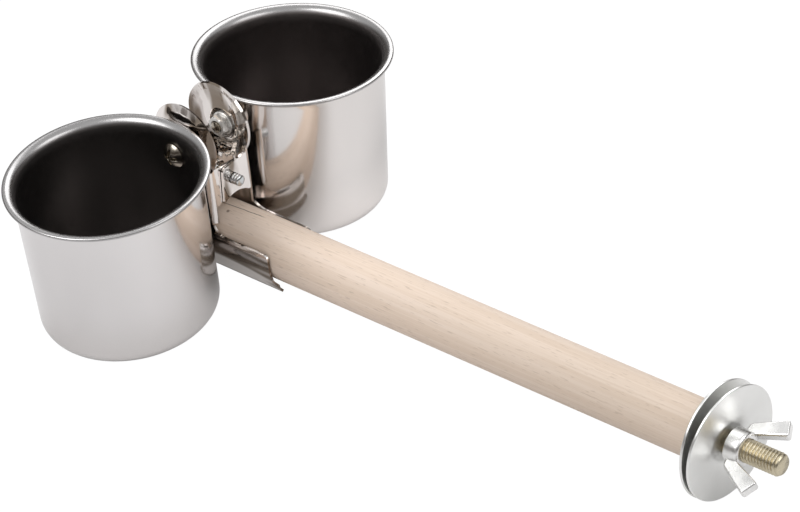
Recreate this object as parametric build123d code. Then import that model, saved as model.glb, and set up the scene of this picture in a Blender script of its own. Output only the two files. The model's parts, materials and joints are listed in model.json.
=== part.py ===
import os
from math import asin, atan2, cos, degrees, pi, radians, sin, sqrt, tan

from build123d import *

os.makedirs("parts", exist_ok=True)

# Working frame: the dowel lies along X through the origin, the clip's middle is at x = 0,
# the left half of the clip is at -Y and the right half at +Y. The last section stands it up.

# Perch dowel and the hanger bolt in its front end
dowel_d = 20.0
dowel_length = 250.0
dowel_behind_clip = 28.5
dowel_edge = 0.6
stud_d = 8.0
stud_outside = 25.5
stud_in_wood = 28.0
stud_wood_fit = 0.02
stud_edge = 0.6

# Fender washers and wing nut
washer_d = 40.5
washer_t = 1.0
washer_bore_fit = 0.10
wire_gap = 2.9
washer_edge = 0.25
nut_slack = 1.6
wing_base_d = 12.8
wing_top_d = 12.0
wing_boss_h = 5.2
wing_bore_fit = 0.06
wing_root_h = 2.6
wing_tip_r = 12.0
wing_tip_h = 14.2
wing_thickness = 3.5
wing_bar = 6.0
wing_turn = 24.5

# Steel cups
cup_h = 58.5
cup_bottom_d = 62.0
cup_taper = 3.0
cup_wall = 0.7
cup_corner = 6.0
cup_rim_flange = 1.75
cup_rim_drop = 1.9
cup_rim_inner_bend = 1.0
cup_rim_outer_bend = 0.65

# Cup screws and nuts, M4
screw_d = 4.0
screw_below_rim = 11.2
screw_hole_d = 4.3
screw_head_d = 7.6
screw_head_h = 2.6
screw_past_nut = 1.0
hex_flats = 7.0
hex_h = 3.2
hex_bore_fit = 0.04
seat_gap = 0.04

# Stamped spring clip
sheet = 0.9
dish_z = 35.5
dish_back_y = 12.2
dish_d = 28.4
dish_recess_d = 9.0
dish_recess = 1.85
dish_floor_d = 17.0
dish_depth = 3.6
dish_rise = 2.4
neck_width = 24.0
neck_y = 9.4
neck_bend = 2.4
ear_gap = 0.25
ear_top_z = 27.8
ear_rise = 1.5
ear_reach = 5.4
ear_foot_z = 14.4
arch_r = 9.7
arch_y = 0.5
arch_z = 6.9
jaw_gap = 0.3
jaw_top_z = 4.4
jaw_length = 72.0
jaw_tab = 2.4
jaw_slant = 0.6
jaw_foot_r = 7.0
jaw_low_z = -8.0
jaw_lip_y = 8.2
jaw_lip_z = -9.9

# Pivot pin and torsion spring
pin_d = 4.0
pin_z = 22.5
pin_past_ear = 4.2
pin_fit = 0.06
pin_edge = 0.5
spring_wire = 1.4
spring_mean_r = 3.5
spring_turns = 4
spring_pitch = 2.2
spring_leg_angle = 10.0
spring_leg_short = 0.75

dowel_front = dowel_length - dowel_behind_clip
dowel_r = dowel_d / 2
washer_r = washer_d / 2
taper = radians(cup_taper)
screw_up_cup = cup_h - screw_below_rim
screw_wall_r = cup_bottom_d / 2 + screw_up_cup * tan(taper)
cup_wall_top_r = cup_bottom_d / 2 + cup_h * tan(taper)
spring_leg = neck_y - spring_leg_short

# Standing height: both cups rest on their outer bottom edges and the washers on their rims.
cup_foot_r = cup_bottom_d / 2 - cup_corner
cup_drop = (screw_wall_r + cup_foot_r) * sin(taper) + screw_up_cup * cos(taper)
axle_height = cup_drop - dish_z
incline = degrees(asin((washer_r - axle_height) / dowel_front))


def along_x(solid, x):
    return Pos(x, 0, 0) * Rot(0, 90, 0) * solid


def rod(d, length, x, edge=0.0, ends=(1, -1)):
    body = Cylinder(d / 2, length, align=(Align.CENTER, Align.CENTER, Align.MIN))
    if edge > 0:
        rims = body.edges().filter_by(GeomType.CIRCLE).sort_by(Axis.Z)
        picked = [rims[-1]] if ends == (1,) else [rims[0]] if ends == (-1,) else rims
        body = chamfer(picked, edge)
    return along_x(body, x)


def strip(points, bends, width):
    # A sheet seen on edge: a bent centre line with the sheet's thickness.
    path = Wire.make_polygon([Vector(p[0], p[1]) for p in points], close=False)
    for point, bend in bends:
        corner = path.vertices().sort_by_distance(Vector(point[0], point[1]))[0]
        path = path.fillet_2d(bend, [corner])
    return trace(path.edges(), width)


# Perch
stud_hole = rod(stud_d + 2 * stud_wood_fit, stud_in_wood, dowel_front - stud_in_wood)
perch_dowel = rod(dowel_d, dowel_length, -dowel_behind_clip, dowel_edge) - stud_hole
stud_length = stud_in_wood + stud_outside
hanger_bolt = rod(stud_d, stud_length, dowel_front - stud_in_wood, stud_edge)


# Washers
def washer(x):
    disc = rod(washer_d, washer_t, x, washer_edge)
    return disc - rod(stud_d + 2 * washer_bore_fit, washer_t + 2, x - 1)


inner_washer = washer(dowel_front)
outer_washer_x = dowel_front + washer_t + wire_gap
outer_washer = washer(outer_washer_x)


# Wing nut: a round tapered boss with two flat bars leaning away from the washers
def wing(side):
    root_r = wing_base_d / 2
    lean = atan2(wing_tip_h - wing_root_h, wing_tip_r - root_r)
    across = Vector(-sin(lean), cos(lean)) * (wing_bar / 2)
    tip = Vector(wing_tip_r, wing_tip_h)
    tip_top = tip + across
    tip_low = tip - across
    root_top = Vector(wing_top_d / 2 - 0.8, wing_boss_h - 0.5)
    root_low = Vector(root_r - 1.6, 0.8)
    shoulder = Vector(root_r + 2.2, 1.4)
    corners = [root_low, shoulder, tip_low, tip_top, root_top]
    face = make_face(Polyline(*[(v.X, v.Y) for v in corners], close=True))
    face = fillet(face.vertices().sort_by_distance(shoulder)[0], 2.0)
    face = fillet(face.vertices().sort_by_distance(tip_top)[0], 0.9)
    face = fillet(face.vertices().sort_by_distance(tip_low)[0], 0.9)
    plate = extrude(Plane.XZ * face, wing_thickness / 2, both=True)
    edges = plate.edges().filter_by(Axis.Y, reverse=True)
    plate = fillet([e for e in edges if e.center().X > wing_top_d / 2 + 1], 0.7)
    return Rot(0, 0, 180 * side) * plate


boss_base = Plane.XY * Circle(wing_base_d / 2)
boss_top = Plane.XY.offset(wing_boss_h) * Circle(wing_top_d / 2)
boss = loft([boss_base, boss_top])
boss = fillet(boss.edges().filter_by(GeomType.CIRCLE).sort_by(Axis.Z)[-1], 1.3)
wing_solid = boss + wing(0) + wing(1)
wing_solid -= Cylinder(stud_d / 2 + wing_bore_fit, 60)
wing_nut_x = outer_washer_x + washer_t + nut_slack
wing_nut = Pos(wing_nut_x, 0, 0) * Rot(wing_turn, 0, 0) * Rot(0, 90, 0) * Rot(0, 0, 90) * wing_solid


# Cups, drawn on their own axis and then set with the wall flat against the dish
def cup_solid():
    half = cup_wall / 2
    wall_r = cup_bottom_d / 2 - half
    top_r = cup_wall_top_r - half
    rim_r = top_r + cup_rim_flange
    low = (wall_r, half)
    high = (top_r, cup_h - half)
    curl = (rim_r, cup_h - half)
    points = [(0, half), low, high, curl, (rim_r, cup_h - cup_rim_drop)]
    bends = [(low, cup_corner - half), (high, cup_rim_inner_bend), (curl, cup_rim_outer_bend)]
    section = strip(points, bends, cup_wall)
    return revolve(Plane.XZ * section, Axis.Z)


def on_right_cup(item):
    return Pos(0, dish_back_y, dish_z) * Rot(0, incline, 0) * Rot(-cup_taper, 0, 0) * item


def screw_axis(solid, y):
    # Solids drawn along +Z are turned to point along +Y on the screw's centre line.
    return Pos(0, y, dish_z) * Rot(-90, 0, 0) * solid


hole = screw_axis(Cylinder(screw_hole_d / 2, 8), dish_back_y)
right_cup = on_right_cup(Pos(0, screw_wall_r, -screw_up_cup) * cup_solid()) - hole

# Round-head screw from inside the cup, its head clear of the curved wall
head_r = screw_head_d / 2
head_seat = cup_wall + head_r**2 / (2 * (screw_wall_r - cup_wall)) + seat_gap
dish_in_y = dish_back_y - seat_gap - sheet
nut_face_y = dish_in_y - seat_gap
screw_end_y = nut_face_y - hex_h - screw_past_nut
dome_r = (head_r**2 + screw_head_h**2) / (2 * screw_head_h)
dome = Pos(0, 0, screw_head_h - dome_r) * Sphere(dome_r)
head = Cylinder(head_r, screw_head_h, align=(Align.CENTER, Align.CENTER, Align.MIN)) & dome
slot = Pos(0, 0, screw_head_h) * Box(screw_head_d, 0.9, 2.0)
shank_length = dish_back_y + head_seat - screw_end_y
shank = Pos(0, 0, -shank_length) * Cylinder(
    screw_d / 2, shank_length + 0.5, align=(Align.CENTER, Align.CENTER, Align.MIN)
)
shank = chamfer(shank.edges().filter_by(GeomType.CIRCLE).sort_by(Axis.Z)[0], 0.4)
right_cup_screw = screw_axis(head - slot + shank, dish_back_y + head_seat)

# Hexagon nut on the flat of the dish
hex_body = extrude(RegularPolygon(hex_flats / 2, 6, major_radius=False), hex_h)
corner_cone = Cone(hex_flats * 0.5 + 3.6, hex_flats * 0.5 - 0.1, hex_h + 1.6,
                   align=(Align.CENTER, Align.CENTER, Align.MIN))
hex_body = hex_body & Pos(0, 0, -1.3) * corner_cone
hex_body -= Cylinder(screw_d / 2 + hex_bore_fit, 20)
right_cup_nut = Pos(0, nut_face_y, dish_z) * Rot(90, 0, 0) * Rot(0, 0, 18) * hex_body


# Stamped clip half at +Y: dished pad, neck with two ears, long trough jaw
def clip_half(ear_outer_x):
    ear_mid = ear_outer_x - sheet / 2
    dish_mid = dish_back_y - seat_gap - sheet / 2
    # Dish: a wide shallow pan set a little above the screw, and a recess in it for the nut
    recess_r = dish_recess_d / 2
    wall_r = recess_r + dish_recess * 0.7
    rim_r = dish_d / 2
    floor_r = dish_floor_d / 2
    turned_r = floor_r + 0.5 * (rim_r - floor_r)
    turned_z = -dish_recess - 0.38 * (dish_depth - dish_recess)
    pan_points = [(0, -dish_recess), (floor_r, -dish_recess), (turned_r, turned_z), (rim_r, -dish_depth)]
    pan_line = strip(pan_points, [(pan_points[1], 6.0), (pan_points[2], 6.0)], sheet)
    pan = revolve(Plane.XZ * pan_line, Axis.Z)
    pan_hollow = revolve(Plane.XZ * make_face(Polyline(*pan_points, (0, -dish_depth), close=True)), Axis.Z)
    recess_points = [(0, 0), (recess_r, 0), (wall_r, -dish_recess), (wall_r + 1.0, -dish_recess)]
    recess_line = strip(recess_points, [(recess_points[1], 0.7), (recess_points[2], 0.7)], sheet)
    recess = screw_axis(revolve(Plane.XZ * recess_line, Axis.Z), dish_mid)
    through = screw_axis(Cylinder(wall_r + 0.2, 12), dish_mid)
    lift = Pos(0, 0, dish_rise)
    dish = (lift * screw_axis(pan, dish_mid) - through) + recess
    hollow = lift * screw_axis(pan_hollow, dish_mid)

    # Neck: a channel seen from above, trimmed to the side outline of the ears
    arms = [(-ear_mid, -ear_reach - 4), (-ear_mid, neck_y), (ear_mid, neck_y), (ear_mid, -ear_reach - 4)]
    channel = strip(arms, [(arms[1], neck_bend), (arms[2], neck_bend)], sheet)
    neck_low = jaw_top_z + 3.4
    channel = extrude(Pos(0, 0, neck_low) * channel, ear_top_z + ear_rise + 4 - neck_low)
    back_y = neck_y + sheet / 2
    ear_side = make_face(Polyline(
        (neck_y - sheet / 2, neck_low - 1), (neck_y - sheet / 2, ear_top_z + ear_rise),
        (-ear_reach + 1.0, ear_top_z), (-ear_reach, ear_foot_z), (-ear_reach, neck_low - 1), close=True,
    ))
    top_corner = ear_side.vertices().sort_by_distance(Vector(-ear_reach + 1.0, ear_top_z))[0]
    ear_side = fillet(top_corner, 1.8)
    ear_side -= Pos(arch_y, arch_z) * Circle(arch_r)
    ear_side -= Pos(-ear_reach, neck_low) * Rectangle(40, 2 * (ear_foot_z - neck_low))
    ear_side += Pos(neck_y, (neck_low + ear_top_z) / 2) * Rectangle(
        3 * sheet, ear_top_z + 2 * ear_rise - neck_low
    )
    ear_side -= Pos(0, pin_z) * Circle(pin_d / 2 + pin_fit)
    neck = channel & extrude(Plane.YZ * ear_side, neck_width, both=True)

    # Jaw: the sheet's side view drawn out along the dowel, trimmed to its flat outline
    jaw_y = dowel_r + jaw_gap + sheet / 2
    side = [(neck_y, dish_z - 6.5), (neck_y, 7.2), (jaw_y, 3.0), (jaw_y, -2.6),
            (jaw_y - 1.0, jaw_low_z), (jaw_lip_y, jaw_lip_z)]
    bends = [(side[1], 3.0), (side[2], 2.5), (side[3], 8.0), (side[4], 1.2)]
    half_length = jaw_length / 2
    sheet_run = extrude(Plane.YZ * strip(side, bends, sheet), half_length + 5, both=True)
    neck_half = ear_outer_x - sheet / 2 - neck_bend
    right_side = [(0, dish_z), (neck_half, dish_z), (neck_half, jaw_top_z),
                  (half_length - jaw_slant, jaw_top_z), (half_length, jaw_low_z + 2.0),
                  (half_length + jaw_tab, jaw_low_z + 1.4), (half_length + jaw_tab, -30), (0, -30)]
    outline = make_face(Polyline(*right_side, close=True))
    for corner, bend in ((right_side[2], jaw_foot_r), (right_side[3], 2.0), (right_side[4], 0.8)):
        outline = fillet(outline.vertices().sort_by_distance(Vector(*corner))[0], bend)
    outline += mirror(outline, about=Plane.YZ)
    jaw = sheet_run & extrude(Plane.XZ * outline, 40, both=True)

    half = (neck + jaw - hollow) + dish
    return half - screw_axis(Cylinder(screw_hole_d / 2, 12), dish_mid)


right_clip_half = clip_half(neck_width / 2)
left_clip_half = mirror(clip_half(neck_width / 2 - sheet - ear_gap), about=Plane.XZ)
left_cup = mirror(right_cup, about=Plane.XZ)
left_cup_screw = mirror(right_cup_screw, about=Plane.XZ)
left_cup_nut = mirror(right_cup_nut, about=Plane.XZ)

pin_length = neck_width + 2 * pin_past_ear
pivot_pin = Pos(0, 0, pin_z) * rod(pin_d, pin_length, -pin_length / 2, pin_edge)


# Torsion spring: one wire, a tangent leg at each end of its turns
def turn_point(angle):
    x = spring_pitch * (angle - spring_middle) / (2 * pi)
    return Vector(x, spring_mean_r * cos(angle), pin_z + spring_mean_r * sin(angle))


def turn_tangent(angle):
    return Vector(
        spring_pitch / (2 * pi), -spring_mean_r * sin(angle), spring_mean_r * cos(angle)
    ).normalized()


def biarc(a, b):
    p0, p1, t0, t1 = turn_point(a), turn_point(b), turn_tangent(a), turn_tangent(b)
    span, both, open_ = p1 - p0, t0 + t1, 1 - t0.dot(t1)
    reach = span.dot(both)
    d = (-reach + sqrt(reach**2 + 2 * open_ * span.dot(span))) / (2 * open_)
    mid = (p0 + p1 + (t0 - t1) * d) * 0.5
    first = Edge.make_tangent_arc(p0, t0, mid)
    tail = Edge.make_tangent_arc(mid, first.tangent_at(1), p1)
    return [first, tail]


start = radians(90 + spring_leg_angle)
finish = radians(90 - spring_leg_angle) + 2 * pi * spring_turns
spring_middle = (start + finish) / 2
quarter_count = 4 * spring_turns
step = (finish - start) / quarter_count
leg_in = turn_point(start) - turn_tangent(start) * spring_leg
leg_out = turn_point(finish) + turn_tangent(finish) * spring_leg
wire_edges = [Edge.make_line(leg_in, turn_point(start))]
for n in range(quarter_count):
    wire_edges += biarc(start + n * step, start + (n + 1) * step)
wire_edges.append(Edge.make_line(turn_point(finish), leg_out))
wire_path = Wire(wire_edges)
wire_end = Plane(origin=leg_in, z_dir=turn_tangent(start))
torsion_spring = sweep(wire_end * Circle(spring_wire / 2), path=wire_path)

# Least gap of the wire to itself, measured on points more than half a turn apart
samples = 60 * spring_turns
points = [wire_path.position_at(n / samples) for n in range(samples + 1)]
far = int(samples * pi * spring_mean_r / wire_path.length)
least = min(
    (points[i] - points[j]).length
    for i in range(len(points)) for j in range(i + far, len(points))
)
print("spring least gap to itself", round(least - spring_wire, 2))
print("spring volume ratio", round(torsion_spring.volume / (pi * spring_wire**2 / 4 * wire_path.length), 4))

nodes = {
    "perch_dowel": perch_dowel,
    "hanger_bolt": hanger_bolt,
    "inner_washer": inner_washer,
    "outer_washer": outer_washer,
    "wing_nut": wing_nut,
    "left_clip_half": left_clip_half,
    "right_clip_half": right_clip_half,
    "pivot_pin": pivot_pin,
    "torsion_spring": torsion_spring,
    "left_cup": left_cup,
    "right_cup": right_cup,
    "left_cup_screw": left_cup_screw,
    "right_cup_screw": right_cup_screw,
    "left_cup_nut": left_cup_nut,
    "right_cup_nut": right_cup_nut,
}

# Standing frame: cups and washers on z = 0, origin under the middle of the whole.
stand = Pos(0, 0, axle_height) * Rot(0, -incline, 0)
box = Compound(children=[stand * solid for solid in nodes.values()]).bounding_box()
shift = Pos(-(box.min.X + box.max.X) / 2, -(box.min.Y + box.max.Y) / 2, -box.min.Z)
place = shift * stand
for name, solid in nodes.items():
    export_step(place * solid, f"parts/{name}.step")

print("overall size", box.size, "incline", round(incline, 3))
for name, point in (
    ("pivot", (0, 0, pin_z)),
    ("dowel front", (dowel_front, 0, 0)),
    ("stud end", (dowel_front + stud_outside, 0, 0)),
    ("outer washer face", (outer_washer_x + washer_t, 0, 0)),
    ("clip middle on dowel axis", (0, 0, 0)),
    ("screw seat right", (0, dish_back_y, dish_z)),
):
    spot = (place * Pos(*point)).position
    print(name, round(spot.X, 4), round(spot.Y, 4), round(spot.Z, 4))
spot = (place * on_right_cup(Pos(0, screw_wall_r, -screw_up_cup))).position
print("base right", round(spot.X, 4), round(spot.Y, 4), round(spot.Z, 4))
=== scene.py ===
import json
import math

import bmesh
import bpy
from mathutils import Matrix, Vector


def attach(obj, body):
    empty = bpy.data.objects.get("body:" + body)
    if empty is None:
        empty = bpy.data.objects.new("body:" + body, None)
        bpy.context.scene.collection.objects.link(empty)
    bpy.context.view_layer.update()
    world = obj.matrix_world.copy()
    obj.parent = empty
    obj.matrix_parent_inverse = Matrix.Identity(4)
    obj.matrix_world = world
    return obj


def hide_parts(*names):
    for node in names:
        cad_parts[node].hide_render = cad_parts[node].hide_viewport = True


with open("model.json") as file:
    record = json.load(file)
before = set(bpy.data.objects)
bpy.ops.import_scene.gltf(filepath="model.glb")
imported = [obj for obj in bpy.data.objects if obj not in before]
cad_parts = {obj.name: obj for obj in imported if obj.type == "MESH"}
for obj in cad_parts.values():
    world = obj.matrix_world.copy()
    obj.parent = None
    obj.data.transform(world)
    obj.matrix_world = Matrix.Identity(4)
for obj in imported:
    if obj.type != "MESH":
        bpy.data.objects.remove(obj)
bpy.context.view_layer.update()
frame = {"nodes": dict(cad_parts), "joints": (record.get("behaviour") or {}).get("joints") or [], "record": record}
nodes = frame["nodes"]
joints = {joint["name"]: joint for joint in frame["joints"]}
mounts = {mount["name"]: mount for mount in frame["record"]["mounts"]}
scene = bpy.context.scene
mm = 0.001
fullTurn = 2 * math.pi
print("stage: frame loaded")

# The dowel's own frame in millimetres: x along the dowel from the clip's middle, y to the right, z up
dowelFrame = {"washerFaceX": 226.4, "frontX": 221.5, "rearX": -28.5, "studEndX": 247.0, "pivotZ": 22.5}
axisX = Vector(joints["clip_slide"]["axis"]).normalized()
axisY = Vector((0, 1, 0))
axisZ = axisX.cross(axisY)
dowelOrigin = Vector(joints["wing_turn"]["pos_m"]) - axisX * (dowelFrame["washerFaceX"] * mm)


def spot(x, y, z):
    return dowelOrigin + (axisX * x + axisY * y + axisZ * z) * mm


# Shader maths: a wrapper round a socket, with one method for any other node
class Sock:
    def __init__(self, tree, socket):
        self.tree = tree
        self.socket = socket

    def node(self, kind, settings, sockets):
        made = self.tree.nodes.new(kind)
        for key, value in settings.items():
            setattr(made, key, value)
        for key, value in sockets.items():
            if isinstance(value, Sock):
                self.tree.links.new(value.socket, made.inputs[key])
            else:
                made.inputs[key].default_value = value
        return Sock(self.tree, made.outputs[0])

    def out(self, name):
        return Sock(self.tree, self.socket.node.outputs[name])

    def math(self, operation, other):
        return self.node("ShaderNodeMath", {"operation": operation}, {0: self, 1: other})

    def __add__(self, other):
        return self.math("ADD", other)

    def __sub__(self, other):
        return self.math("SUBTRACT", other)

    def __rsub__(self, other):
        return self.node("ShaderNodeMath", {"operation": "SUBTRACT"}, {0: other, 1: self})

    def __mul__(self, other):
        return self.math("MULTIPLY", other)

    __radd__ = __add__
    __rmul__ = __mul__

    def vector(self, operation, other):
        return self.node("ShaderNodeVectorMath", {"operation": operation}, {0: self, 1: other})

    def fade(self, low, high, first=0.0, last=1.0):
        settings = {"interpolation_type": "SMOOTHSTEP"}
        sockets = {"Value": self, "From Min": low, "From Max": high, "To Min": first, "To Max": last}
        return self.node("ShaderNodeMapRange", settings, sockets)

    def noise(self, stretch, detail=2.0, rough=0.5):
        mapped = self.node("ShaderNodeMapping", {}, {"Vector": self, "Scale": stretch})
        sockets = {"Vector": mapped, "Scale": 1.0, "Detail": detail, "Roughness": rough}
        return self.node("ShaderNodeTexNoise", {}, sockets)

    def parts(self):
        split = self.node("ShaderNodeSeparateXYZ", {}, {0: self})
        return split.out("X"), split.out("Y"), split.out("Z")

    def blend(self, first, last):
        ends = [end if isinstance(end, Sock) else (*end, 1) for end in (first, last)]
        made = self.node("ShaderNodeMix", {"data_type": "RGBA"}, {0: self, 6: ends[0], 7: ends[1]})
        return made.out(2)

    def attribute(self, name, output):
        return self.node("ShaderNodeAttribute", {"attribute_name": name}, {}).out(output)


def newMaterial(name, constants):
    made = bpy.data.materials.new(name)
    made.use_nodes = True
    tree = made.node_tree
    shader = tree.nodes["Principled BSDF"]
    for key, value in constants.items():
        shader.inputs[key].default_value = value
    place = Sock(tree, shader.outputs[0]).node("ShaderNodeTexCoord", {}, {}).out("Object")
    return made, shader, place


def feed(shader, name, sock):
    sock.tree.links.new(sock.socket, shader.inputs[name])


def feedBump(shader, height, strength, distance):
    sockets = {"Strength": strength, "Distance": distance, "Height": height}
    feed(shader, "Normal", height.node("ShaderNodeBump", {}, sockets))


# Plated metal for the small pieces: a broad patchy tone and a fine grain
noiseSpan = (0.3, 0.7)
fineNoise = {"detail": 3.0, "rough": 0.6}
plating = {"patch": (90, 90, 90), "patchOver": (0.36, 0.66), "bumpDepth": 0.0001}


def plated(name, colour, shade, smooth, rough, grain, bump, metal=1.0):
    made, shader, place = newMaterial(name, {"Metallic": metal})
    patch = place.noise(plating["patch"])
    fine = place.noise((grain, grain, grain), **fineNoise)
    darker = tuple(shade * part for part in colour)
    feed(shader, "Base Color", patch.fade(*plating["patchOver"]).blend(colour, darker))
    feed(shader, "Roughness", fine.fade(*noiseSpan, smooth, rough))
    feedBump(shader, fine, bump, plating["bumpDepth"])
    return made


def closeSeam(bm, within=1e-6):
    bmesh.ops.remove_doubles(bm, verts=bm.verts, dist=within)


def smoothMesh(bm, name, sharpAngle=None):
    bmesh.ops.recalc_face_normals(bm, faces=bm.faces)
    mesh = bpy.data.meshes.new(name)
    bm.to_mesh(mesh)
    bm.free()
    for face in mesh.polygons:
        face.use_smooth = True
    if sharpAngle:
        mesh.set_sharp_from_angle(angle=math.radians(sharpAngle))
    return mesh


def addPiece(name, mesh, made, body, slotName, *replaced):
    piece = bpy.data.objects.new(name, mesh)
    scene.collection.objects.link(piece)
    mesh.materials.append(made)
    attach(piece, body)
    if replaced:
        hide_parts(*replaced)


def dressNode(name, made):
    mesh = nodes[name].data
    mesh.materials.clear()
    mesh.materials.append(made)
    for face in mesh.polygons:
        face.material_index = 0


def turnedMesh(profile, point, count, layers=()):
    # Profile rows are (radius, height, layer values), and point(r, h, turn) gives the place
    bm = bmesh.new()
    made = [bm.verts.layers.float.new(layer) for layer in layers]
    rings = []
    for radius, height, *values in profile:
        ring = []
        for step in range(1 if radius == 0 else count):
            vert = bm.verts.new(point(radius, height, fullTurn * step / count))
            for layer, value in zip(made, values):
                vert[layer] = value
            ring.append(vert)
        rings.append(ring)
    for low, high in zip(rings, rings[1:]):
        for step in range(count):
            after = (step + 1) % count
            lowPair = [low[step % len(low)], low[after % len(low)]]
            highPair = [high[after % len(high)], high[step % len(high)]]
            corners = list(dict.fromkeys(lowPair + highPair))
            if len(corners) > 2:
                bm.faces.new(corners)
    return bm


def arc(centre, radius, first, last, count):
    turns = [math.radians(first + (last - first) * step / count) for step in range(count + 1)]
    return [(centre[0] + radius * math.cos(turn), centre[1] + radius * math.sin(turn)) for turn in turns]


# Dowel: bare sanded beech with long grain and short flecks, a fine crack and a small knot near the clip, with
# painted light near the clip
wood = {
    "radius": 10.0, "edge": 0.6, "edgeSteps": 4, "endRing": 0.5, "around": 144, "rows": 40,
    # the clip tones are painted light: paler wood near the clip that cancels the shade between the cups
    "clipPalePaintedLight": (0.87, 0.725, 0.615), "clipWarmPaintedLight": (0.80, 0.65, 0.53),
    "endPale": (0.73, 0.61, 0.51), "endWarm": (0.665, 0.54, 0.435), "paintedLightOver": (0.03, 0.2),
    "broad": {"stretch": (9, 260, 260), "detail": 3.0, "rough": 0.55},
    "streak": {"stretch": (16, 1500, 1500), "detail": 3.0, "rough": 0.6},
    "streakOver": (0.4, 0.62), "rough": (0.48, 0.62), "specular": 0.3,
    "flecks": {"stretch": (230, 2300, 2300), "detail": 1.0},
    "fleck": (0.45, 0.345, 0.265), "fleckOver": (0.62, 0.72), "fleckMost": 0.4,
    "crack": (0.16, 0.11, 0.08), "crackStart": 0.0035, "crackEnd": 0.0255, "crackTips": (0.001, 0.004),
    "crackY": -0.00045, "crackSlope": 0.07, "crackEdge": (0.00012, 0.0003),
    "crackTop": (0.004, 0.006), "crackMost": 0.8, "wander": (500, 60, 60), "wanderWide": 0.0006,
    "knot": (0.0101, -0.0029, 0.0096), "knotOver": (0.0003, 0.0008), "knotMost": 0.75,
    "ringPitch": 0.0016, "pith": (0, 0.004, 0.003), "ringWave": 3.0,
    "ringOver": (-0.4, 1.0), "ringMost": 0.8,
    "bumpStreak": 0.5, "bumpFleck": 0.3, "bumpCrack": 2.0, "bump": 0.22, "bumpDepth": 0.0002,
}


def crackShade(grain, x, y, z):
    away = y - wood["crackY"] - (x - wood["crackStart"]) * wood["crackSlope"]
    wander = (grain.noise(wood["wander"]) - 0.5) * wood["wanderWide"]
    line = (away + wander).math("ABSOLUTE", 0.0).fade(*wood["crackEdge"], 1.0, 0.0)
    rearTip, frontTip = wood["crackTips"]
    reach = x.fade(wood["crackStart"] - rearTip, wood["crackStart"])
    reach = reach * x.fade(wood["crackEnd"] - frontTip, wood["crackEnd"], 1.0, 0.0)
    return line * reach * z.fade(*wood["crackTop"], 0.0, wood["crackMost"])


def woodMaterial():
    made, shader, place = newMaterial("dowelBeech", {"Specular IOR Level": wood["specular"]})
    grain = place.attribute("grain", "Vector")
    end = place.attribute("end", "Fac")
    x, y, z = grain.parts()
    broad = grain.noise(**wood["broad"])
    streak = grain.noise(**wood["streak"])
    fleck = grain.noise(**wood["flecks"])
    tone = (broad * 0.5 + streak * 0.5).fade(*wood["streakOver"])
    nearClipPaintedLight = tone.blend(wood["clipPalePaintedLight"], wood["clipWarmPaintedLight"])
    nearEnd = tone.blend(wood["endPale"], wood["endWarm"])
    # painted light: near the clip the wood is painted paler, and it fades to the end tones along the dowel
    colour = x.fade(*wood["paintedLightOver"]).blend(nearClipPaintedLight, nearEnd)
    flecked = fleck.fade(*wood["fleckOver"], 0.0, wood["fleckMost"])
    colour = flecked.blend(colour, wood["fleck"])
    crack = crackShade(grain, x, y, z)
    knotWay = grain.vector("DISTANCE", wood["knot"]).out("Value")
    knot = knotWay.fade(*wood["knotOver"], wood["knotMost"], 0.0)
    colour = crack.math("MAXIMUM", knot).blend(colour, wood["crack"])
    ringWay = grain.vector("MULTIPLY", (0, 1, 1)).vector("DISTANCE", wood["pith"]).out("Value")
    wave = ringWay * (fullTurn / wood["ringPitch"]) + broad * wood["ringWave"]
    ring = wave.math("SINE", 0.0).fade(*wood["ringOver"], 0.0, wood["ringMost"])
    feed(shader, "Base Color", end.blend(colour, ring.blend(wood["endPale"], wood["fleck"])))
    feed(shader, "Roughness", streak.fade(*noiseSpan, *wood["rough"]))
    height = streak * wood["bumpStreak"] + fleck * wood["bumpFleck"] - crack * wood["bumpCrack"]
    feedBump(shader, height, wood["bump"], wood["bumpDepth"])
    return made


def buildDowel():
    edge = wood["edge"]
    radius = wood["radius"]
    hub = radius * wood["endRing"]
    steps = wood["edgeSteps"]
    rear, front = dowelFrame["rearX"], dowelFrame["frontX"]
    rounded = enumerate(arc((0, 0), edge, 90, 0, steps))
    bend = [(radius - edge + r, h, 1 - step / steps) for step, (r, h) in rounded]
    rows = [(0, rear, 1.0), (hub, rear, 1.0)]
    rows += [(r, rear + edge - h, end) for r, h, end in bend]
    length = front - rear - 2 * edge
    rows += [(radius, rear + edge + length * step / wood["rows"], 0.0) for step in range(1, wood["rows"])]
    rows += [(r, front - edge + h, end) for r, h, end in reversed(bend)]
    rows += [(hub, front, 1.0), (0, front, 1.0)]

    def place(r, h, turn):
        return spot(h, r * math.cos(turn), r * math.sin(turn))

    bm = turnedMesh(rows, place, wood["around"], ("end",))
    layer = bm.verts.layers.float_vector.new("grain")
    for vert in bm.verts:
        off = vert.co - dowelOrigin
        vert[layer] = Vector((off.dot(axisX), off.dot(axisY), off.dot(axisZ)))
    mesh = smoothMesh(bm, "dowelWood")
    addPiece("dowelWood", mesh, woodMaterial(), "perch", "dowel_wood", "perch_dowel")


buildDowel()
print("stage: dowel")

# Hanger bolt: a coarse rolled thread with a rounded end
stud = {
    "crest": 3.97, "root": 3.25, "pitch": 1.25, "valley": 0.16, "flank": 0.66,
    "tail": 1.0, "tailCut": 0.75, "inWood": 3.0, "around": 40, "perTurn": 10,
    "finish": {
        "colour": (0.66, 0.59, 0.44), "shade": 0.85,
        "smooth": 0.26, "rough": 0.4, "grain": 1400, "bump": 0.03,
    },
}
studMade = plated("studYellowZinc", **stud["finish"])


def studRadius(x, around):
    phase = (x / stud["pitch"] - around) % 1.0
    flank = abs(phase - 0.5) * 2
    wave = min(1.0, max(0.0, (flank - stud["valley"]) / stud["flank"]))
    taper = max(0.0, (x - (dowelFrame["studEndX"] - stud["tail"])) / stud["tail"])
    threaded = stud["root"] + (stud["crest"] - stud["root"]) * wave
    return min(threaded, stud["crest"] - stud["tailCut"] * taper)


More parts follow.
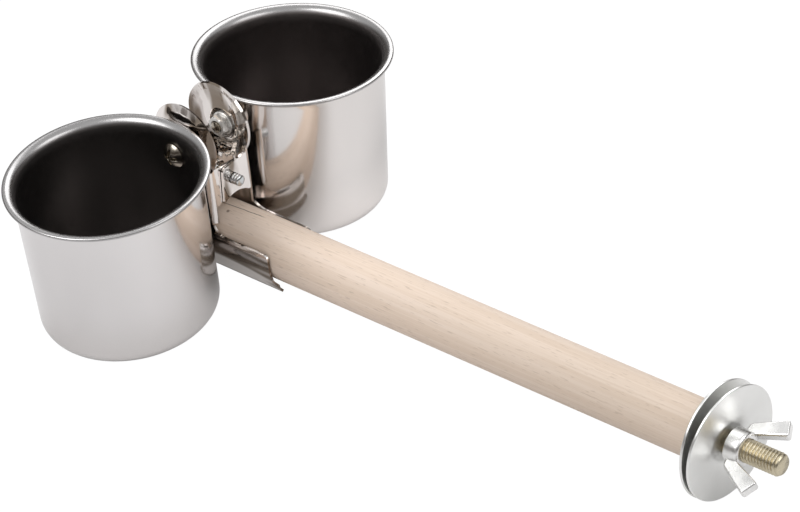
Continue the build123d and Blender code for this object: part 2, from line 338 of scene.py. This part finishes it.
def buildStud():
    first = dowelFrame["frontX"] - stud["inWood"]
    last = dowelFrame["studEndX"]
    steps = int((last - first) / stud["pitch"] * stud["perTurn"])
    rows = [(1, first + (last - first) * row / steps) for row in range(steps + 1)]
    rows = [(0, first)] + rows + [(0, last)]

    def place(r, x, turn):
        radius = r * studRadius(x, turn / fullTurn)
        return spot(x, radius * math.cos(turn), radius * math.sin(turn))

    mesh = smoothMesh(turnedMesh(rows, place, stud["around"]), "studThread")
    addPiece("studThread", mesh, studMade, "perch", "stud_zinc", "hanger_bolt")


buildStud()
print("stage: stud")

# Washers: stamped zinc discs with a rounded punch edge, the outer one hanging a little askew on the thread
washer = {
    "radius": 20.25, "thick": 1.0, "bore": 4.1, "boreEase": 0.1, "edge": 0.3, "middleRing": 0.5,
    "rearEdge": (-70, 0, 4), "frontEdge": (0, 90, 5), "around": 160, "lean": (0.06, 0.055),
    "finish": {
        "colour": (0.87, 0.872, 0.855), "shade": 0.96,
        "smooth": 0.3, "rough": 0.36, "grain": 200, "bump": 0.001,
    },
}
washerMade = plated("washerZinc", **washer["finish"])


def buildWasher(name, rearX, body, node, lean=(0, 0)):
    edge, ease = washer["edge"], washer["boreEase"]
    thick = washer["thick"]
    outer, bore = washer["radius"], washer["bore"]
    middle = outer * washer["middleRing"]
    rows = [(bore, ease), (bore + ease, 0.0), (middle, 0.0), (outer - edge, 0.0)]
    rows += arc((outer - edge, edge), edge, *washer["rearEdge"])
    rows += arc((outer - edge, thick - edge), edge, *washer["frontEdge"])
    rows += [(middle, thick), (bore + ease, thick), (bore, thick - ease), (bore, ease)]

    def place(r, h, turn):
        y, z = r * math.cos(turn), r * math.sin(turn)
        return spot(rearX + h + lean[0] * y + lean[1] * z, y, z)

    bm = turnedMesh(rows, place, washer["around"])
    closeSeam(bm)
    addPiece(name, smoothMesh(bm, name), washerMade, body, "washer_zinc", node)


buildWasher("innerWasherDisc", dowelFrame["frontX"], "perch", "inner_washer")
outerRear = dowelFrame["washerFaceX"] - washer["thick"]
buildWasher("outerWasherDisc", outerRear, "clamp_washer", "outer_washer", washer["lean"])

# Wing nut: the frame's own solid in cast zinc
wing = {
    "colour": (0.90, 0.895, 0.885), "shade": 0.74,
    "smooth": 0.22, "rough": 0.34, "grain": 160, "bump": 0.12,
}
dressNode("wing_nut", plated("wingZinc", **wing))
print("stage: washers and wing nut")

# Cups: drawn steel with a flared lip and a small rolled edge, polished outside, with painted shade inside, a
# painted reflection near the foot, and the same steel painted darker on the left cup than on the right
cup = {
    "baseRadius": 31.1, "taper": 1.1, "wall": 0.7, "corner": 6.0, "cornerSteps": 12,
    "footRing": 0.6, "around": 224,
    "outsideHeights": (15, 25, 35, 45, 51, 53.8), "insideHeights": (51, 45, 35, 25, 15),
    "flare": 3.1, "flareStart": 55.35, "flareUnder": (174, 112, 8), "flareOver": (96, 176, 16),
    "bead": 0.6, "beadRadius": 34.95, "beadHeight": 57.85, "beadTurn": (-120, 80, 10), "beadRim": 0.8,
    "rim": (0.40, 0.393, 0.393), "rimFoot": 53, "rimHeights": (54.4, 53.7, 53), "rimOver": 2.2,
    # paintedDarkFrom and paintedDarkOver set where the flare's inner side fades into the painted shade of the
    # inside
    "paintedDarkFrom": 0.5, "paintedDarkOver": 0.32,
    "band": {"stretch": (24, 24, 2.5), "detail": 1.0}, "bandOver": (0.35, 0.65), "bandShade": 0.86,
    "satin": (300, 300, 300), "rough": (0.1, 0.13), "insideRough": 0.2, "rimRough": 0.16,
    # paintedReflectionLowOver and each cup's low tone are a painted reflection near the foot
    "bump": 0.004, "bumpDepth": 0.0001, "paintedReflectionLowOver": (0.003, 0.026),
    # the two cups are one steel: the left cup's tones are painted shade and the right cup's tones are painted
    # light
    "left": {"outside": (0.81, 0.788, 0.785), "low": (0.68, 0.655, 0.645), "inside": (0.215, 0.2, 0.195)},
    "right": {"outside": (0.88, 0.845, 0.825), "low": (0.95, 0.905, 0.88), "inside": (0.27, 0.245, 0.24)},
}


def cupMaterial(name, tones):
    made, shader, place = newMaterial(name, {"Metallic": 1.0})
    # the inside mask carries painted shade: the hollow of the cup is painted dark
    paintedDark = place.attribute("inside", "Fac")
    rim = place.attribute("rim", "Fac")
    satin = place.noise(cup["satin"])
    shaded = tuple(cup["bandShade"] * part for part in tones["outside"])
    banded = place.noise(**cup["band"]).fade(*cup["bandOver"]).blend(tones["outside"], shaded)
    # painted reflection: the wall colour fades to the low tone near the foot, darker on the left cup and lighter
    # on the right
    height = place.parts()[2].fade(*cup["paintedReflectionLowOver"])
    colour = rim.blend(height.blend(tones["low"], banded), cup["rim"])
    feed(shader, "Base Color", paintedDark.blend(colour, tones["inside"]))
    polish = satin.fade(*noiseSpan, *cup["rough"])
    feed(shader, "Roughness", polish + paintedDark * cup["insideRough"] + rim * cup["rimRough"])
    feedBump(shader, satin, cup["bump"], cup["bumpDepth"])
    return made


def cupProfile():
    # Rows are (radius, height, how far inside, which sets the painted shade, how much rim)
    taper, wall, corner = cup["taper"], cup["wall"], cup["corner"]
    lean = math.tan(math.radians(taper))
    slope = math.cos(math.radians(taper))
    base = cup["baseRadius"]
    innerBase = base - wall / slope
    centre = (base + corner * lean - corner / slope, corner)
    foot = centre[0] * cup["footRing"]
    hub = (innerBase + cup["flareStart"] * lean + cup["flare"], cup["flareStart"])
    outside = [(0.0, 0.0), (foot, 0.0)]
    outside += arc(centre, corner, -90, -taper, cup["cornerSteps"])
    outside += [(base + h * lean, h) for h in cup["outsideHeights"]]
    outside += arc(hub, cup["flare"] - wall, *cup["flareUnder"])
    rows = [(r, h, 0.0, 0.0) for r, h in outside]
    bead = arc((cup["beadRadius"], cup["beadHeight"]), cup["bead"], *cup["beadTurn"])
    rows += [(r, h, 0.0, cup["beadRim"]) for r, h in bead]
    flare = arc(hub, cup["flare"], *cup["flareOver"])
    # painted shade: across the flare's inner side the colour fades into the dark inside tone
    for step, (r, h) in enumerate(flare):
        paintedDark = (step / (len(flare) - 1) - cup["paintedDarkFrom"]) / cup["paintedDarkOver"]
        rows.append((r, h, min(1.0, max(0.0, paintedDark)), 1.0))
    rows += [
        (innerBase + h * lean, h, 1.0, (h - cup["rimFoot"]) / cup["rimOver"]) for h in cup["rimHeights"]
    ]
    inside = [(innerBase + h * lean, h) for h in cup["insideHeights"]]
    inside += arc(centre, corner - wall, -taper, -90, cup["cornerSteps"])
    inside += [(foot, wall), (0.0, wall)]
    return rows + [(r, h, 1.0, 0.0) for r, h in inside]


def buildCup(node, body, name, tones):
    base = Vector(mounts[node + "_base"]["pos_m"])
    up = -Vector(mounts[node + "_base"]["axis"]).normalized()
    across = (axisX - up * axisX.dot(up)).normalized()
    along = up.cross(across)

    def place(r, h, turn):
        return base + (up * h + (across * math.cos(turn) + along * math.sin(turn)) * r) * mm

    bm = turnedMesh(cupProfile(), place, cup["around"], ("inside", "rim"))
    made = cupMaterial(name + "Steel", tones)
    addPiece(name, smoothMesh(bm, name), made, body, "cup_steel", node)


buildCup("left_cup", "left_arm", "leftCupShell", cup["left"])
buildCup("right_cup", "right_arm", "rightCupShell", cup["right"])
print("stage: cups")

# Cup fasteners: a cross-recessed round-head screw from inside the cup, a collar and a hexagon nut in the dish
fastener = {
    "height": 35.5, "around": 96,
    "shank": 1.97, "root": 1.6, "pitch": 0.7, "threads": 6, "end": 5.5, "tipCut": 0.3, "tipRise": 0.2,
    "threadStart": 0.35, "crestWide": 0.15, "rootFrom": 0.4,
    "spacerRadius": 4.2, "spacerFrom": 12.2, "spacerTo": 14.0, "bareShank": 1.0,
    "headRadius": 4.6, "headEdge": 0.4, "headEase": 0.2, "headSeat": 14.7, "dome": 2.3, "domeSteps": 12,
    "cross": 0.5, "crossReach": 2.9, "crossDeep": 1.3, "crossFrom": 1.0, "screwSharp": 40,
    "screwFinish": {
        "colour": (0.52, 0.47, 0.40), "shade": 0.6,
        "smooth": 0.12, "rough": 0.24, "grain": 500, "bump": 0.05,
    },
    "collarRadius": 4.35, "collarSeat": 11.2, "collarEase": 0.1,
    "nutSeat": 9.4, "nutTop": 6.35, "flats": 7.0, "bore": 2.1, "boreEase": 0.35, "turn": 18.0, "nutSharp": 8,
    "chamfer": 0.35, "chamferIn": 0.08, "pastCorners": 1.17,
    "nutFinish": {
        "colour": (0.84, 0.83, 0.81), "shade": 0.88,
        "smooth": 0.2, "rough": 0.3, "grain": 500, "bump": 0.03,
        "metal": 0.6,
    },
}
screwMade = plated("screwNickel", **fastener["screwFinish"])
nutMade = plated("nutZinc", **fastener["nutFinish"])


def screwProfile():
    end, shank, root = fastener["end"], fastener["shank"], fastener["root"]
    rows = [(0, end), (root - fastener["tipCut"], end), (root, end + fastener["tipRise"])]
    for number in range(fastener["threads"]):
        low = end + fastener["threadStart"] + number * fastener["pitch"]
        rows += [(shank, low), (shank, low + fastener["crestWide"]), (root, low + fastener["rootFrom"])]
    spacer, first, last = fastener["spacerRadius"], fastener["spacerFrom"], fastener["spacerTo"]
    seat, radius, ease = fastener["headSeat"], fastener["headRadius"], fastener["headEase"]
    rows += [(shank, first - fastener["bareShank"]), (shank, first), (spacer, first)]
    rows += [(spacer, last), (shank, last), (shank, seat)]
    rows += [(radius - ease, seat), (radius, seat + ease)]
    for step in range(fastener["domeSteps"] + 1):
        out = radius * (1 - step / fastener["domeSteps"])
        rise = fastener["headEdge"] + fastener["dome"] * (1 - (out / radius) ** 2)
        rows.append((out, seat + rise))
    return rows


def nutProfile():
    low, top = fastener["nutSeat"], fastener["nutTop"]
    bore, cut, ease = fastener["bore"], fastener["chamfer"], fastener["boreEase"]
    collar, seat, collarEase = fastener["collarRadius"], fastener["collarSeat"], fastener["collarEase"]
    flat = fastener["flats"] / 2
    corner = flat * fastener["pastCorners"]
    face = flat - fastener["chamferIn"]
    rows = [(bore, seat), (collar, seat), (collar, low + collarEase), (collar - collarEase, low)]
    rows += [(face, low), (corner, low - cut), (corner, top + cut), (face, top)]
    return rows + [(bore + ease, top), (bore, top + ease), (bore, seat)]


def buildFasteners(side, sign):
    def onAxis(r, y, turn):
        return spot(r * math.cos(turn), sign * y, fastener["height"] + r * math.sin(turn))

    def onScrew(r, y, turn):
        crossed = min(abs(r * math.cos(turn)), abs(r * math.sin(turn))) < fastener["cross"]
        domed = y > fastener["headSeat"] + fastener["crossFrom"]
        if domed and crossed and r < fastener["crossReach"]:
            y -= fastener["crossDeep"]
        return onAxis(r, y, turn)

    def onNut(r, y, turn):
        hexStep = math.pi / 3
        hexRadius = fastener["flats"] / 2 / math.cos((turn + hexStep / 2) % hexStep - hexStep / 2)
        hexagonal = y < fastener["nutSeat"] - fastener["collarEase"]
        return onAxis(min(r, hexRadius) if hexagonal else r, y, turn + math.radians(fastener["turn"]))

    body = side + "_arm"
    screwName, nutName = side + "CupScrew", side + "CupNut"
    bm = turnedMesh(screwProfile(), onScrew, fastener["around"])
    screwMesh = smoothMesh(bm, screwName, fastener["screwSharp"])
    addPiece(screwName, screwMesh, screwMade, body, "screw_nickel", side + "_cup_screw")
    bm = turnedMesh(nutProfile(), onNut, fastener["around"])
    closeSeam(bm)
    nutMesh = smoothMesh(bm, nutName, fastener["nutSharp"])
    addPiece(nutName, nutMesh, nutMade, body, "nut_zinc", side + "_cup_nut")


buildFasteners("left", -1)
buildFasteners("right", 1)
print("stage: cup fasteners")

# Spring clip: polished nickel over pressed steel, wavy from the press and the buff, with painted dark reflection
# bands and painted shade on the jaws
clip = {
    # the dark colour over paintedDarkOver is a painted reflection, and jawPaintedShade adds painted shade on the
    # jaws
    "pale": (0.87, 0.825, 0.795), "paintedDark": (0.25, 0.205, 0.165), "paintedDarkOver": (0.44, 0.6), "jawPaintedShade": 0.07,
    "along": {"stretch": (22, 240, 240), "detail": 1.0},
    "upright": {"stretch": (190, 190, 40), "detail": 1.0},
    "neckOver": (0.018, 0.024), "fine": (260, 260, 260), "rough": (0.04, 0.09),
    "bump": 0.28, "bumpDepth": 0.002,
}


def clipMaterial():
    made, shader, place = newMaterial("clipNickel", {"Metallic": 1.0})
    neck = place.parts()[2].fade(*clip["neckOver"])
    jaw = 1 - neck
    wave = place.noise(**clip["along"]) * jaw + place.noise(**clip["upright"]) * neck
    fine = place.noise(clip["fine"], **fineNoise)
    # painted reflection and painted shade: the wave noise paints dark reflection bands into the colour, and the
    # jaws are painted darker
    shade = (wave + jaw * clip["jawPaintedShade"]).fade(*clip["paintedDarkOver"])
    feed(shader, "Base Color", shade.blend(clip["pale"], clip["paintedDark"]))
    feed(shader, "Roughness", fine.fade(*noiseSpan, *clip["rough"]))
    feedBump(shader, wave, clip["bump"], clip["bumpDepth"])
    return made


clipMade = clipMaterial()
dressNode("left_clip_half", clipMade)
dressNode("right_clip_half", clipMade)

# Pivot pin: a plain rod with peened, ringed ends
pin = {
    "radius": 2.0, "earX": 12.0, "past": 4.2, "rings": 3, "around": 40,
    "crown": ((0.0, 0.0), (0.45, 0.05), (0.8, 0.35)), "crownDeep": 0.6,
    "ring": ((0.05, 0.0), (0.0, 0.25), (0.05, 0.55), (0.3, 0.78)), "rodIn": 0.02, "intoEar": 0.1,
    "finish": {
        "colour": (0.74, 0.76, 0.77), "shade": 0.85,
        "smooth": 0.14, "rough": 0.26, "grain": 700, "bump": 0.05,
    },
}
pinMade = plated("pinZinc", **pin["finish"])


def buildPin():
    radius = pin["radius"]
    end = pin["earX"] + pin["past"]
    rows = [(radius * share, end - drop) for share, drop in pin["crown"]]
    step = (pin["past"] - pin["crownDeep"]) / pin["rings"]
    for ring in range(pin["rings"]):
        top = end - pin["crownDeep"] - ring * step
        rows += [(radius - inset, top - share * step) for inset, share in pin["ring"]]
    rows.append((radius - pin["rodIn"], pin["earX"] - pin["intoEar"]))
    rows += [(r, -x) for r, x in reversed(rows)]

    def place(r, h, turn):
        return spot(h, r * math.cos(turn), dowelFrame["pivotZ"] + r * math.sin(turn))

    mesh = smoothMesh(turnedMesh(rows, place, pin["around"]), "pivotRivet")
    addPiece("pivotRivet", mesh, pinMade, "clip_pivot", "pin_zinc", "pivot_pin")


buildPin()

# Torsion spring: the coil stays on the pin and each leg follows its clip half
spring = {
    "wire": 0.7, "radius": 3.5, "turns": 4, "pitch": 2.2, "top": 90, "tilt": 10.0,
    "coilStep": 7.5, "sides": 14,
    "leg": 8.65, "legSteps": 6, "legThinner": 0.01, "overlap": 50.0, "overlapSteps": 8,
    "finish": {
        "colour": (0.66, 0.63, 0.59), "shade": 0.85,
        "smooth": 0.12, "rough": 0.2, "grain": 700, "bump": 0.03,
    },
}
wireMade = plated("springWire", **spring["finish"])


def tubeMesh(name, points, radius):
    bm = bmesh.new()
    rings = []
    side = axisX
    turns = [fullTurn * step / spring["sides"] for step in range(spring["sides"])]
    for number, point in enumerate(points):
        ahead = points[min(number + 1, len(points) - 1)] - points[max(number - 1, 0)]
        ahead.normalize()
        side = (side - ahead * side.dot(ahead)).normalized()
        other = ahead.cross(side)
        ring = [point + (side * math.cos(turn) + other * math.sin(turn)) * radius for turn in turns]
        rings.append([bm.verts.new(place) for place in ring])
    for low, high in zip(rings, rings[1:]):
        for step in range(spring["sides"]):
            after = (step + 1) % spring["sides"]
            bm.faces.new((low[step], low[after], high[after], high[step]))
    bm.faces.new(rings[0])
    bm.faces.new(rings[-1])
    return smoothMesh(bm, name)


def coilPoint(degrees):
    middle = spring["top"] + 180 * spring["turns"]
    turn = math.radians(degrees)
    radius = spring["radius"]
    x = spring["pitch"] * (degrees - middle) / 360
    return spot(x, radius * math.cos(turn), dowelFrame["pivotZ"] + radius * math.sin(turn))


def legPoints(start, sense):
    overlapSteps, legSteps = spring["overlapSteps"], spring["legSteps"]
    shares = [1 - step / overlapSteps for step in range(overlapSteps + 1)]
    points = [coilPoint(start + sense * spring["overlap"] * share) for share in shares]
    ahead = (coilPoint(start) - coilPoint(start + sense)).normalized()
    foot = points[-1]
    points += [foot + ahead * (spring["leg"] * mm * step / legSteps) for step in range(1, legSteps + 1)]
    return points


def buildSpring():
    first = spring["top"] + spring["tilt"]
    last = spring["top"] - spring["tilt"] + 360 * spring["turns"]
    count = int((last - first) / spring["coilStep"])
    coil = [coilPoint(first + (last - first) * step / count) for step in range(count + 1)]
    mesh = tubeMesh("springCoil", coil, spring["wire"] * mm)
    addPiece("springCoil", mesh, wireMade, "clip_pivot", "spring_steel", "torsion_spring")
    legRadius = (spring["wire"] - spring["legThinner"]) * mm
    mesh = tubeMesh("springLegRight", legPoints(first, 1), legRadius)
    addPiece("springLegRight", mesh, wireMade, "right_arm", "spring_steel")
    mesh = tubeMesh("springLegLeft", legPoints(last, -1), legRadius)
    addPiece("springLegLeft", mesh, wireMade, "left_arm", "spring_steel")


buildSpring()
print("stage: clip, pin and spring")

# Studio: a pale floor that the camera sees as white, soft lights and a room with darker sides
studio = {
    "half": 3, "floor": (0.74, 0.735, 0.74), "floorShade": (0.71, 0.705, 0.71), "floorPatch": (3, 3, 3),
    "floorFinish": {"Roughness": 0.9, "Specular IOR Level": 0.1},
    "glow": {"Color": (1, 1, 1, 1), "Strength": 1.06}, "shadow": 0.06, "mirrored": 0.15,
    "overhead": (1.0, 1.0, 1.0), "overheadOver": (0.35, 0.62), "side": (0.12, 0.105, 0.095),
    "ground": (0.5, 0.48, 0.47), "groundOver": (-0.1, 0.1), "seen": (1.4, 1.4, 1.4), "strength": 0.75,
}
half = studio["half"]
floorCorners = [(-half, -half, 0), (half, -half, 0), (half, half, 0), (-half, half, 0)]
floorMesh = bpy.data.meshes.new("floor")
floorMesh.from_pydata(floorCorners, [], [(0, 1, 2, 3)])
floor = bpy.data.objects.new("floor", floorMesh)
scene.collection.objects.link(floor)
floorMade, floorShader, floorPlace = newMaterial("floorPale", studio["floorFinish"])
floorTone = floorPlace.noise(studio["floorPatch"]).fade(*noiseSpan)
feed(floorShader, "Base Color", floorTone.blend(studio["floor"], studio["floorShade"]))
path = floorPlace.node("ShaderNodeLightPath", {}, {})
mirrored = path.out("Is Glossy Ray").math("MAXIMUM", path.out("Is Transmission Ray")) * studio["mirrored"]
seen = path.out("Is Camera Ray") * (1 - studio["shadow"]) + mirrored
glow = floorPlace.node("ShaderNodeEmission", {}, studio["glow"])
surface = Sock(floorMade.node_tree, floorShader.outputs[0])
mixed = floorPlace.node("ShaderNodeMixShader", {}, {0: seen, 1: surface, 2: glow})
feed(floorMade.node_tree.nodes["Material Output"], "Surface", mixed)
floorMesh.materials.append(floorMade)

# Lights: three soft squares aimed at the middle of the part
lights = {
    "key": {"place": (-0.35, -0.8, 1.1), "size": 0.9, "power": 8.0},
    "fill": {"place": (0.9, 0.25, 0.9), "size": 0.8, "power": 4.0},
    "back": {"place": (-0.6, 0.9, 0.8), "size": 0.7, "power": 4.0},
}
lightTarget = Vector((-0.02, 0, 0.03))
for name, item in lights.items():
    lamp = bpy.data.lights.new(name, "AREA")
    lamp.energy = item["power"]
    lamp.size = item["size"]
    holder = bpy.data.objects.new(name, lamp)
    scene.collection.objects.link(holder)
    holder.location = item["place"]
    aim = lightTarget - Vector(item["place"])
    holder.rotation_euler = aim.to_track_quat("-Z", "Y").to_euler()

world = bpy.data.worlds.new("studio")
scene.world = world
world.use_nodes = True
background = world.node_tree.nodes["Background"]
start = Sock(world.node_tree, background.outputs[0])
rise = start.node("ShaderNodeTexCoord", {}, {}).out("Generated").parts()[2]
room = rise.fade(*studio["groundOver"]).blend(studio["ground"], studio["side"])
room = rise.fade(*studio["overheadOver"]).blend(room, studio["overhead"])
cameraRay = start.node("ShaderNodeLightPath", {}, {}).out("Is Camera Ray")
feed(background, "Color", cameraRay.blend(room, studio["seen"]))
background.inputs["Strength"].default_value = studio["strength"]
print("stage: studio")

# Camera: the photograph's own viewpoint
view = {
    "place": (0.75994, -0.78602, 0.81307),
    "right": (0.746465, 0.660936, -0.077156),
    "up": (-0.335323, 0.473776, 0.814306),
    "back": (0.574759, -0.581979, 0.575284),
    "lens": 182.54, "sensor": 36, "near": 0.05, "far": 20,
}
camera = bpy.data.cameras.new("camera")
camera.sensor_width = view["sensor"]
camera.lens = view["lens"]
camera.clip_start = view["near"]
camera.clip_end = view["far"]
eye = bpy.data.objects.new("camera", camera)
scene.collection.objects.link(eye)
turn = Matrix((view["right"], view["up"], view["back"])).transposed()
eye.matrix_world = Matrix.Translation(view["place"]) @ turn.to_4x4()
scene.camera = eye
scene.view_settings.view_transform = "Standard"
scene.view_settings.look = "None"
print("stage: camera")
